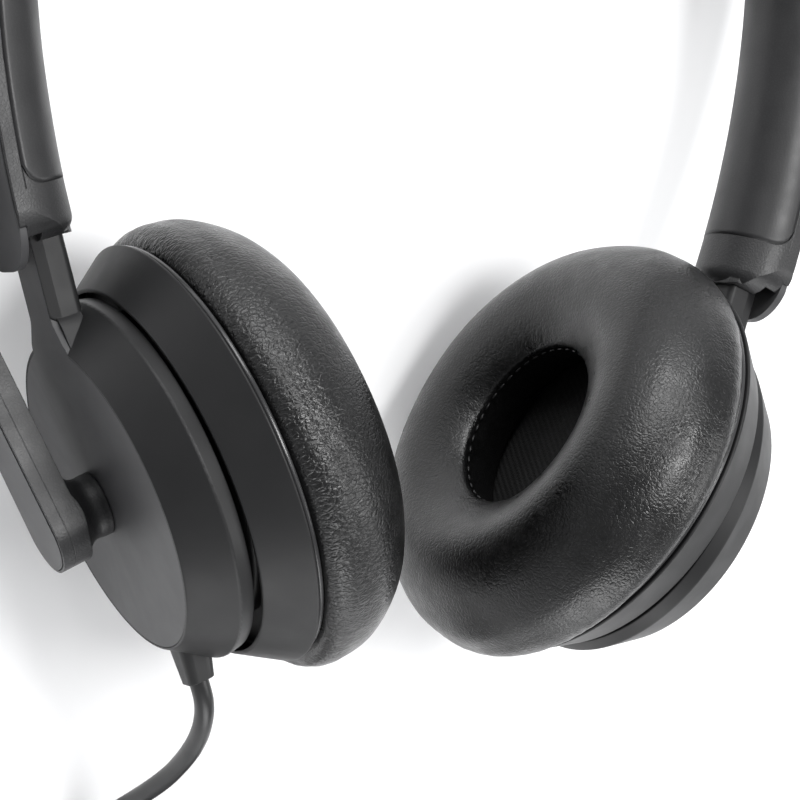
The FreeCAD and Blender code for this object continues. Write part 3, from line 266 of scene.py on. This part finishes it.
class Surface:
    """One node material, built up from a Principled shader."""

    def __init__(self, name, color, roughness, **fixed):
        self.material = bpy.data.materials.new(name)
        self.material.use_nodes = True
        self.tree = self.material.node_tree
        self.shader = self.tree.nodes["Principled BSDF"]
        self.color, self.roughness = color, roughness
        for socket, value in fixed.items():
            self.shader.inputs[socket.replace("_", " ")].default_value = value
        self.place = self.node("TexCoord").outputs["Object"]
        self.height = None

    def node(self, kind, **settings):
        made = self.tree.nodes.new("ShaderNode" + kind)
        for key, value in settings.items():
            setattr(made, key, value)
        return made

    def link(self, start, end):
        self.tree.links.new(start, end)

    def attribute(self, name):
        return self.node("Attribute", attribute_name=name, attribute_type="GEOMETRY")

    def scaled(self, size, vector=None):
        """Coordinates in which one unit is size millimetres; size is a number or three."""
        sizes = size if isinstance(size, tuple) else (size, size, size)
        mapping = self.node("Mapping")
        mapping.inputs["Scale"].default_value = [1 / (s * MM) for s in sizes]
        self.link(vector or self.place, mapping.inputs["Vector"])
        return mapping.outputs["Vector"]

    def noise(self, size, detail=3.0):
        made = self.node("TexNoise")
        made.inputs["Scale"].default_value = 1.0
        made.inputs["Detail"].default_value = detail
        self.link(self.scaled(size), made.inputs["Vector"])
        return made.outputs["Fac"]

    def ramp(self, value, low, high, from_low=0.3, from_high=0.7):
        return smooth_ramp(self.tree, value, low, high, from_low, from_high)

    def math(self, operation, a, b):
        made = self.node("Math", operation=operation)
        for socket, value in zip(made.inputs, (a, b)):
            if isinstance(value, (int, float)):
                socket.default_value = value
            else:
                self.link(value, socket)
        return made.outputs[0]

    def add_height(self, value, amount):
        """Adds a relief; amount is its height in millimetres."""
        step = self.math("MULTIPLY", value, amount * MM)
        self.height = step if self.height is None else self.math("ADD", self.height, step)

    def cells(self, size, warp, crease, vector=None):
        """Pebbles of leather: 1 on each pebble, 0 in the creases."""
        where = self.scaled(size, vector)
        shake = self.node("TexNoise")
        shake.inputs["Scale"].default_value = 1.3
        self.link(where, shake.inputs["Vector"])
        shaken = self.node("VectorMath", operation="MULTIPLY_ADD")
        shaken.inputs[1].default_value = (warp, warp, warp)
        self.link(shake.outputs["Color"], shaken.inputs[0])
        self.link(where, shaken.inputs[2])
        made = self.node("TexVoronoi", feature="DISTANCE_TO_EDGE")
        made.inputs["Scale"].default_value = 1.0
        self.link(shaken.outputs[0], made.inputs["Vector"])
        return self.ramp(made.outputs["Distance"], 0.0, 1.0, 0.0, crease)

    def finish(self, patch=14.0, tone=0.12, gloss=0.05, darken=None, wear=0.25,
               soften=0.0):
        """Joins colour, roughness and relief to the shader; soften rounds edges, in mm."""
        base = Vector(self.color)
        mix = self.node("Mix", data_type="RGBA")
        mix.inputs["A"].default_value = (*(base * (1 - tone)), 1)
        mix.inputs["B"].default_value = (*(base * (1 + tone)), 1)
        self.link(self.ramp(self.noise(patch), 0.0, 1.0), mix.inputs["Factor"])
        color = mix.outputs["Result"]
        if wear:
            pointed = self.node("NewGeometry").outputs["Pointiness"]
            worn = self.node("Mix", data_type="RGBA")
            worn.inputs["B"].default_value = (*(WORN_GAIN * c + WORN_ADD for c in base), 1)
            self.link(color, worn.inputs["A"])
            self.link(self.ramp(pointed, 0.0, wear, WORN_FROM, WORN_TO), worn.inputs["Factor"])
            color = worn.outputs["Result"]
        # darken multiplies the colour: painted shade in the creases and grooves of the grains and cloth, and the
        # tracks' own colour on the board
        if darken is not None:
            shade = self.node("Mix", data_type="RGBA", blend_type="MULTIPLY")
            shade.inputs["Factor"].default_value = 1.0
            self.link(color, shade.inputs["A"])
            self.link(darken, shade.inputs["B"])
            color = shade.outputs["Result"]
        self.link(color, self.shader.inputs["Base Color"])
        rough = self.ramp(self.noise(patch * 0.4, 4.0), self.roughness - gloss,
                          self.roughness + gloss)
        self.link(rough, self.shader.inputs["Roughness"])
        if self.height is not None:
            bump = self.node("Bump")
            bump.inputs["Strength"].default_value = 1.0
            bump.inputs["Distance"].default_value = 1.0
            self.link(self.height, bump.inputs["Height"])
            self.link(bump.outputs["Normal"], self.shader.inputs["Normal"])
            if soften:
                soft = self.node("Bevel", samples=4)
                soft.inputs["Radius"].default_value = soften * MM
                self.link(soft.outputs["Normal"], bump.inputs["Normal"])
        return self.material


def moulded(name, color, roughness, grain=0.35, depth=0.004, shine=0.45, **more):
    """Plastic with a fine spark-eroded grain."""
    s = Surface(name, color, roughness, IOR=1.46, Specular_IOR_Level=shine)
    s.add_height(s.noise(grain, 2.0), depth)
    s.add_height(s.noise(grain * 9, 2.0), depth * 1.2)
    more.setdefault("soften", EDGE_SOFTNESS)
    return s.finish(**more)


def grained(name, color, roughness, size=0.75, depth=0.02, **more):
    """Plastic or coated foam with a leather-like moulded grain; the creases between its pebbles are darkened as
    painted shade.
    """
    s = Surface(name, color, roughness, IOR=1.46)
    pebbles = s.cells(size, 0.5, 0.3)
    s.add_height(pebbles, depth)
    s.add_height(s.noise(size * 0.35, 2.0), depth * 0.6)
    more.setdefault("soften", EDGE_SOFTNESS)
    # painted shade: the colour is darkened in the creases between the pebbles
    return s.finish(darken=s.ramp(pebbles, 0.82, 1.0, 0.0, 1.0), **more)


def leather(name, color, roughness):
    """Cushion leatherette: uneven pebbles, and fine creases square to the outer seam; the cracks between the
    pebbles are darkened as painted shade.
    """
    s = Surface(name, color, roughness, IOR=1.47, Specular_IOR_Level=0.55)
    skin = s.attribute("skin").outputs["Vector"]
    seam = s.attribute("near_seam").outputs["Fac"]
    large = s.cells(1.15, 0.8, 0.2)
    small = s.cells(0.66, 0.7, 0.24)
    creased = s.cells((0.8, 0.8, 1.9), 0.55, 0.22, skin)
    s.add_height(large, 0.013)
    s.add_height(small, 0.020)
    s.add_height(s.math("MULTIPLY", creased, seam), 0.07)
    s.add_height(s.noise(0.2, 2.0), 0.004)
    # painted shade: the colour is darkened in the cracks between the large and small pebbles
    painted_crease_shade = s.math("MULTIPLY", s.ramp(large, 0.6, 1.0, 0.0, 1.0),
                  s.ramp(small, 0.5, 1.0, 0.0, 1.0))
    return s.finish(patch=9.0, tone=0.1, gloss=0.06, darken=painted_crease_shade, wear=0)


def knit(name, color, roughness):
    """Speaker cloth: fine ribs with dotted stitches; the grooves between the ribs are darkened as painted shade.
    """
    s = Surface(name, color, roughness)
    rib = s.node("TexWave", wave_type="BANDS", bands_direction="Y")
    rib.inputs["Scale"].default_value = 0.31
    rib.inputs["Distortion"].default_value = 0.6
    rib.inputs["Detail"].default_value = 1.0
    where = s.scaled(0.9)
    where.node.inputs["Rotation"].default_value = (-0.45, 0, 0)
    s.link(where, rib.inputs["Vector"])
    dots = s.cells(0.5, 0.4, 0.35)
    s.add_height(rib.outputs["Fac"], 0.12)
    s.add_height(dots, 0.05)
    # painted shade: the colour is darkened in the grooves between the ribs, where the relief is low
    return s.finish(patch=2.0, tone=0.3, gloss=0.03, wear=0,
                    darken=s.ramp(rib.outputs["Fac"], 0.35, 1.0, 0.2, 0.9))


def metal(name, color, roughness, stretch=(0.15, 6.0, 6.0)):
    """Metal with a grain; stretch is the size of its marks along the three axes, in mm."""
    s = Surface(name, color, roughness, Metallic=1.0)
    s.add_height(s.noise(stretch, 3.0), 0.002)
    return s.finish(tone=0.08, gloss=0.08)


def circuit(name, color):
    """Solder mask over faint copper tracks."""
    s = Surface(name, color, 0.35, IOR=1.5)
    tracks = s.cells(2.4, 0.0, 0.06)
    s.add_height(tracks, -0.03)
    return s.finish(darken=s.ramp(tracks, 1.0, 0.7, 0.0, 1.0))


def make_materials():
    """One material for each slot of the record, and one for the stitches."""
    return {
        "satin_plastic": moulded("satin plastic", (0.030, 0.030, 0.0315), 0.48, depth=0.004,
                                 tone=0.05, gloss=0.02),
        "matt_plastic": moulded("matt plastic", (0.011, 0.011, 0.0115), 0.46, grain=0.28,
                                depth=0.007, shine=0.32, tone=0.05, gloss=0.03),
        "grained_plastic": grained("grained plastic", (0.015, 0.015, 0.0158), 0.44, 0.55, 0.012),
        "inner_plastic": moulded("inner plastic", (0.005, 0.005, 0.0052), 0.55),
        "gloss_trim": moulded("gloss trim", (0.03, 0.03, 0.031), 0.2, depth=0.001),
        "steel": metal("brushed steel", (0.52, 0.52, 0.54), 0.34),
        "magnet_steel": metal("plated steel", (0.3, 0.3, 0.31), 0.45, (1.0, 1.0, 1.0)),
        "soft_rubber": moulded("soft rubber", (0.012, 0.012, 0.0125), 0.5, grain=0.6),
        "diaphragm": moulded("thin film", (0.05, 0.05, 0.055), 0.25),
        "speaker_cloth": knit("speaker cloth", (0.004, 0.004, 0.0042), 0.9),
        "leatherette": leather("cushion leatherette", (0.0055, 0.0055, 0.0057), 0.33),
        "pad_leatherette": grained("pad leatherette", (0.016, 0.016, 0.0168), 0.42, 0.45, 0.004,
                                   wear=0),
        "board": circuit("circuit board", (0.02, 0.12, 0.05)),
        "cord_jacket": moulded("cord jacket", (0.014, 0.014, 0.0145), 0.36, grain=0.5, wear=0),
        "tie_cloth": knit("tie cloth", (0.012, 0.012, 0.0125), 0.85),
        "plug_body": moulded("plug overmould", (0.016, 0.016, 0.0165), 0.45),
        "plug_metal": metal("nickel plate", (0.66, 0.65, 0.63), 0.26),
        "plug_insulator": moulded("plug insulator", (0.02, 0.02, 0.022), 0.5),
        "stitch": moulded("stitch thread", (0.015, 0.015, 0.0155), 0.35, wear=0),
    }


def paint(piece, material):
    piece.data.materials.clear()
    piece.data.materials.append(material)


def paint_nodes(materials):
    """Gives every CAD node the material of its own slot."""
    for subpart in frame["record"]["subparts"]:
        node = NODES[subpart["node"]]
        for slot in node.material_slots:
            slot.material = materials[subpart["material_slot"]]


# ---------------------------------------------------------------- cushions
CUSHION_DROP = 1.0                      # mm, the cushion sits below the cup's middle
# Outline in the cup's (radius, depth), in mm: side seam, bulge, crest, mouth, ear hole.
CUSHION_OUTLINE = [(32.8, 17.1), (33.9, 17.9), (34.7, 19.7), (34.95, 22.0), (34.4, 25.4),
                   (32.5, 28.9), (29.9, 31.9), (26.4, 34.2), (22.8, 34.9), (19.4, 34.2),
                   (16.3, 32.6), (14.3, 31.0), (13.65, 30.1)]
CUSHION_INSIDE = [(13.9, 29.3), (14.3, 26.5), (15.2, 23.5), (16.6, 21.1)]
CUSHION_BACK = [(18.2, 20.6), (19.9, 20.5), (20.8, 18.6), (21.3, 17.1), (25.0, 17.06),
                (29.0, 17.06)]
CUSHION_TURNS, CUSHION_SKIN_ROWS, CUSHION_INSIDE_ROWS = 360, 60, 12
PATTERN_R, PATTERN_RISE = 34, 44        # mm, size of the skin in the crease pattern
PUCKER_HEIGHT, PLEAT_HEIGHT, SWELL_HEIGHT = 0.10, 0.06, 0.12      # mm
CREASE_REACH = 0.62                     # share of the skin that the seam's creases cross
CREASES = {"left": (3.0, 1.0), "right": (19.0, 0.25)}     # seed and strength


def lathe_grid(side, profile):
    """The profile turned about the cushion's axis, one turn after the other."""
    points = []
    for i in range(CUSHION_TURNS):
        angle = 2 * math.pi * i / CUSHION_TURNS
        c, s = math.cos(angle), math.sin(angle)
        points += [cup_point(side, r * c, r * s - CUSHION_DROP, depth) for r, depth in profile]
    return points


def make_cushion(side, materials):
    """Stuffed leatherette ring: swelled by a cloth simulation, then creased at its seams."""
    skin = smooth_curve(CUSHION_OUTLINE, CUSHION_SKIN_ROWS)
    inside = smooth_curve([CUSHION_OUTLINE[-1]] + CUSHION_INSIDE, CUSHION_INSIDE_ROWS)[1:]
    profile = [tuple(p) for p in np.vstack([skin, inside, CUSHION_BACK])]
    columns = len(profile)
    piece = mesh_piece(side + "_ear_cushion", lathe_grid(side, profile),
                       grid_faces(CUSHION_TURNS, columns))
    outward_normals(piece)
    held = [i * columns + j for i in range(CUSHION_TURNS)
            for j in [0, 1] + list(range(CUSHION_SKIN_ROWS - 2, columns))]
    pump_up(piece, held, cap=0.9 * MM, pressure=3.0, frames=14, growth=0.02)
    crease_cushion(side, piece, columns)
    paint(piece, materials["leatherette"])
    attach(piece, side + "_cup")
    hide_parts(side + "_cushion")


def crease_cushion(side, piece, columns):
    """Puckers where the skin is gathered into its seams, and the skin's own coordinates."""
    co, normals = points_of(piece), normals_of(piece)
    seed, strength = CREASES[side]
    skin = np.zeros((len(co), 3))
    near = np.zeros(len(co))
    for i in range(CUSHION_TURNS):
        angle = 2 * math.pi * i / CUSHION_TURNS
        c, s = math.cos(angle), math.sin(angle)
        for j in range(CUSHION_SKIN_ROWS):
            k = i * columns + j
            along = j / (CUSHION_SKIN_ROWS - 1)
            reach = 0.30 + 0.13 * noise.noise(Vector((c * 2.2, s * 2.2, seed)))
            outer = max(0.0, 1 - along / reach) ** 0.8 if j else 0.0
            mouth = max(0.0, (along - 0.80) / 0.20) * (1 if j < CUSHION_SKIN_ROWS - 1 else 0)
            pucker = noise.noise(Vector((c * 30, s * 30, along * 3 + seed)))
            pleat = noise.noise(Vector((c * 11, s * 11, along * 2 + seed + 7)))
            broad = noise.noise(Vector((c * 1.6, s * 1.6, along * 2.5 + seed)))
            lift = (PUCKER_HEIGHT * outer * pucker + PLEAT_HEIGHT * mouth * pleat
                    + SWELL_HEIGHT * broad)
            if 0 < j < CUSHION_SKIN_ROWS - 1:
                co[k] += normals[k] * lift * MM
            near[k] = strength * max(0.0, 1 - along / CREASE_REACH) ** 0.6 if j else 0.0
            skin[k] = (PATTERN_R * c * MM, PATTERN_R * s * MM, along * PATTERN_RISE * MM)
    set_points(piece, co)
    layer = piece.data.attributes.new("skin", "FLOAT_VECTOR", "POINT")
    layer.data.foreach_set("vector", skin.ravel())
    layer = piece.data.attributes.new("near_seam", "FLOAT", "POINT")
    layer.data.foreach_set("value", near)


STITCHES, STITCH_R, STITCH_DEPTH = 44, 13.63, 29.4      # count, and mm in the cup's axes
STITCH_FAT = 0.19                                       # mm, radius of the thread
STITCH_START, STITCH_SHARE = 0.18, 0.64                 # of the room of each stitch
STITCH_RINGS, STITCH_SIDES = 5, 6


def make_mouth_seams(side, materials):
    """Row of stitches round the ear hole."""
    points, faces = [], []
    for i in range(STITCHES):
        for k in range(STITCH_RINGS):
            share = k / (STITCH_RINGS - 1)
            swing = 2 * math.pi * (i + STITCH_START + STITCH_SHARE * share) / STITCHES
            fat = STITCH_FAT * math.sin(math.pi * (0.12 + 0.76 * share))
            for m in range(STITCH_SIDES):
                turn = 2 * math.pi * m / STITCH_SIDES
                r = STITCH_R + fat * math.cos(turn)
                points.append(cup_point(side, r * math.cos(swing),
                                        r * math.sin(swing) - CUSHION_DROP,
                                        STITCH_DEPTH + fat * math.sin(turn)))
        start = i * STITCH_RINGS * STITCH_SIDES
        last = start + (STITCH_RINGS - 1) * STITCH_SIDES
        faces += [tuple(start + v for v in face)
                  for face in grid_faces(STITCH_RINGS, STITCH_SIDES, False)]
        faces += [tuple(first + m for m in range(STITCH_SIDES)) for first in (start, last)]
    piece = mesh_piece(side + "_ear_hole_stitches", points, faces)
    outward_normals(piece)
    paint(piece, materials["stitch"])
    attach(piece, side + "_cup")


# ---------------------------------------------------------------- headband pad
BAND_HALF_W, BAND_T, BAND_SIDE = 9.0, 11.0, 2.3         # mm, as in the CAD model
ARM_R, SHOULDER_R = 170.0, 52.0                         # mm
SHOULDER_TURN, CROWN_TURN = 52.0, 90.0                  # degrees, where each arc ends
BAND_HALF_SPAN, BAND_WIDEST_Z = 74.5, 88.7              # mm
PAD_END, RIGHT_EXTRA = 15.55, 0.8       # degrees below the arm's top, and more on the right
PAD_CORNER, PAD_INSET, PAD_LIFT = 3.2, 0.02, 0.03       # mm
PAD_ROUNDNESS = 0.98
ARM_ROWS, SHOULDER_ROWS, CROWN_ROWS, PAD_COLUMNS = 60, 40, 40, 40


def band_place(run, inwards):
    """Point of the left half of the band's middle plane; run is the turn below the arm's top
    (negative), over the shoulder and then on to the middle of the crown, in degrees."""
    shoulder = (-BAND_HALF_SPAN + SHOULDER_R, BAND_WIDEST_Z)
    if run < 0:
        centre, radius, angle = (-BAND_HALF_SPAN + ARM_R, BAND_WIDEST_Z), ARM_R, run
    elif run < SHOULDER_TURN:
        centre, radius, angle = shoulder, SHOULDER_R, run
    else:
        turn = math.radians(SHOULDER_TURN)
        edge_x = shoulder[0] - SHOULDER_R * math.cos(turn)
        edge_z = shoulder[1] + SHOULDER_R * math.sin(turn)
        radius = -edge_x / math.cos(turn)
        centre, angle = (0.0, edge_z - radius * math.sin(turn)), run
    angle = math.radians(angle)
    return (centre[0] - (radius - inwards) * math.cos(angle),
            centre[1] + (radius - inwards) * math.sin(angle))


def pad_run(position, height, extra):
    """Turn along the band, in degrees; the pad's last rows follow its rounded lower corner."""
    drop = max(0.0, PAD_CORNER - height)
    retreat = PAD_CORNER - math.sqrt(max(0.0, PAD_CORNER ** 2 - drop ** 2))
    low = -(PAD_END + extra) + math.degrees(retreat / ARM_R)
    runs = np.concatenate([np.linspace(low, 0, ARM_ROWS),
                           np.linspace(0, SHOULDER_TURN, SHOULDER_ROWS)[1:],
                           np.linspace(SHOULDER_TURN, CROWN_TURN, CROWN_ROWS)[1:]])
    return runs[position]


def make_headband_pad(materials):
    """Moulded foam pad along the inside of the band, swelled a little by a cloth simulation."""
    around, middle = PAD_COLUMNS, ARM_ROWS + SHOULDER_ROWS + CROWN_ROWS - 3
    rows = 2 * middle + 1
    points = []
    for i in range(rows):
        mirror, extra = (1, 0.0) if i <= middle else (-1, RIGHT_EXTRA)
        for j in range(around):
            turn = math.pi * j / (around - 1)
            across = (BAND_HALF_W - PAD_INSET) * math.cos(turn)
            height = (BAND_T - BAND_SIDE) * math.sin(turn) ** PAD_ROUNDNESS
            run = pad_run(middle - abs(i - middle), height, extra)
            x, z = band_place(run, BAND_SIDE + PAD_LIFT + height)
            points.append(wearing_point(mirror * x, across, z))
    faces = grid_faces(rows, around, close_rows=False)
    faces += [tuple(range(around)), tuple((rows - 1) * around + j for j in range(around))]
    piece = mesh_piece("headband_cushion_pad", points, faces)
    outward_normals(piece)
    held = [i * around + j for i in range(rows) for j in (0, 1, around - 2, around - 1)]
    held += [i * around + j for i in (0, 1, rows - 2, rows - 1) for j in range(around)]
    pump_up(piece, held, cap=0.25 * MM, pressure=2.0, frames=8, growth=0.005)
    paint(piece, materials["pad_leatherette"])
    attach(piece, "headband")
    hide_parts("headband_pad")


# ---------------------------------------------------------------- cord
CORD_D = 0.0030                         # this section is in metres
CORD_EXIT = (-0.029061, -0.086225, 0.040238)
CORD_TUCK = 0.0015                      # the cord starts this far inside its strain relief
CORD_ROUTE = [(-0.0273, -0.0902, 0.0399), (-0.0261, -0.0944, 0.0375),
              (-0.0252, -0.0984, 0.0339), (-0.0247, -0.1025, 0.0295),
              (-0.0247, -0.1071, 0.0242), (-0.0256, -0.1124, 0.0172),
              (-0.0271, -0.1175, 0.0104), (-0.0282, -0.1230, 0.0050),
              (-0.0287, -0.1296, 0.0022), (-0.0289, -0.1368, 0.0015),
              (-0.0288, -0.1434, 0.0015)]
COIL_X, COIL_Y = -0.0078, -0.1458
COIL_LAYERS, COIL_RANKS, COIL_MIDDLE_R = 4, 4, 0.0165
TURN_POINTS = 16
STEP_OVER = 0.25                        # share of each turn that moves on to the next place
TAIL_ROUTE = [(-0.0053, -0.1672, 0.0103), (0.0001, -0.1676, 0.0083),
              (0.0051, -0.1674, 0.0054), (0.0097, -0.1669, 0.0041),
              (0.0137, -0.1668, 0.0040), (0.0167, -0.1668, 0.0040)]


def coil_points():
    """Turns from the outside in on the table, then out again on the next layer, and so on."""
    first = COIL_MIDDLE_R - (COIL_RANKS - 1) / 2 * CORD_D
    places = []
    for layer in range(COIL_LAYERS):
        ranks = range(COIL_RANKS)
        for rank in (reversed(ranks) if layer % 2 == 0 else ranks):
            places.append((first + rank * CORD_D, (layer + 0.5) * CORD_D))
    places.append(places[-1])
    points = []
    turns = len(places) - 1
    for i in range(turns * TURN_POINTS + TURN_POINTS // 4 + 1):
        turn, step = divmod(i, TURN_POINTS)
        radius, height = places[turn]
        if turn < turns:
            share = max(0.0, step / TURN_POINTS - (1 - STEP_OVER)) / STEP_OVER
            radius += (places[turn + 1][0] - radius) * share
            height += (places[turn + 1][1] - height) * share
        angle = math.pi + 2 * math.pi * i / TURN_POINTS
        radius /= 0.5 + 0.5 * math.cos(math.pi / TURN_POINTS)
        points.append((COIL_X + radius * math.cos(angle), COIL_Y + radius * math.sin(angle),
                       height))
    return points


def make_cord(materials):
    """One smooth cord out of the cup, down to the table, round the coil and to the plug."""
    inside = Vector(CORD_EXIT) + UPWARD * CORD_TUCK
    points = [tuple(inside), CORD_EXIT] + CORD_ROUTE + coil_points() + TAIL_ROUTE
    curve = bpy.data.curves.new("cord", "CURVE")
    curve.dimensions = "3D"
    curve.bevel_depth = CORD_D / 2
    curve.bevel_resolution = 5
    curve.resolution_u = 6
    curve.use_fill_caps = True
    spline = curve.splines.new("NURBS")
    spline.points.add(len(points) - 1)
    for place, point in zip(spline.points, points):
        place.co = (*point, 1.0)
    spline.order_u = 3
    spline.use_endpoint_u = True
    piece = new_object("cord", curve)
    paint(piece, materials["cord_jacket"])
    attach(piece, "left_arm")
    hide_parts("cord_tube", "cord_coil", "cord_tail")


# ---------------------------------------------------------------- stage
FLOOR_REACH = 6.0                       # m
# The studio is bright in front and behind, and dimmer above and on both sides.
HORIZON_LIGHT, OVERHEAD_LIGHT, SIDE_LIGHT = 1.25, 0.42, 0.35
LIGHTS = [("top light", (0.10, 0.22, 0.85), (0.0, -0.03, 0.03), (0.30, 0.30), 5.5),
          ("back light", (-0.18, 0.68, 0.45), (0.0, -0.03, 0.03), (0.50, 0.30), 4.0),
          ("side light", (0.62, -0.12, 0.60), (0.0, -0.03, 0.03), (0.40, 0.40), 2.6),
          ("low light", (0.10, -0.75, 0.35), (0.0, -0.06, 0.03), (0.50, 0.35), 2.4)]


def area_light(name, place, aim, size, watts):
    data = bpy.data.lights.new(name, "AREA")
    data.shape = "RECTANGLE"
    data.size, data.size_y = size
    data.energy = watts
    light = new_object(name, data)
    light.location = place
    light.rotation_euler = (Vector(aim) - Vector(place)).to_track_quat("-Z", "Y").to_euler()


def make_sky():
    """Soft light all round: a gradient by height, dimmed towards both sides."""
    world = bpy.data.worlds.new("studio")
    bpy.context.scene.world = world
    world.use_nodes = True
    tree = world.node_tree
    sky = tree.nodes["Background"]
    sky.inputs["Color"].default_value = (0.97, 0.98, 1.0, 1)
    where = tree.nodes.new("ShaderNodeTexCoord")
    split = tree.nodes.new("ShaderNodeSeparateXYZ")
    tree.links.new(where.outputs["Generated"], split.inputs[0])
    upright = smooth_ramp(tree, split.outputs["Z"], HORIZON_LIGHT, OVERHEAD_LIGHT, 0.25, 0.80)
    sideways = tree.nodes.new("ShaderNodeMath")
    sideways.operation = "ABSOLUTE"
    tree.links.new(split.outputs["X"], sideways.inputs[0])
    across = smooth_ramp(tree, sideways.outputs[0], 1.0, SIDE_LIGHT, 0.30, 0.95)
    both = tree.nodes.new("ShaderNodeMath")
    both.operation = "MULTIPLY"
    tree.links.new(upright, both.inputs[0])
    tree.links.new(across, both.inputs[1])
    tree.links.new(both.outputs[0], sky.inputs["Strength"])


def make_stage():
    corners = [(-1, -1), (1, -1), (1, 1), (-1, 1)]
    floor = mesh_piece("floor", [(x * FLOOR_REACH, y * FLOOR_REACH, 0) for x, y in corners],
                       [(0, 1, 2, 3)], smooth=False)
    s = Surface("white floor", (0.96, 0.96, 0.965), 0.6)
    paint(floor, s.finish(patch=900.0, tone=0.01, wear=0))
    make_sky()
    bpy.context.scene.view_settings.view_transform = "Standard"
    for light in LIGHTS:
        area_light(*light)


# ---------------------------------------------------------------- the scene
def main():
    make_camera()
    materials = make_materials()
    make_cord(materials)
    paint_nodes(materials)
    for side in SIDES:
        make_cushion(side, materials)
        make_mouth_seams(side, materials)
    make_headband_pad(materials)
    make_stage()


main()
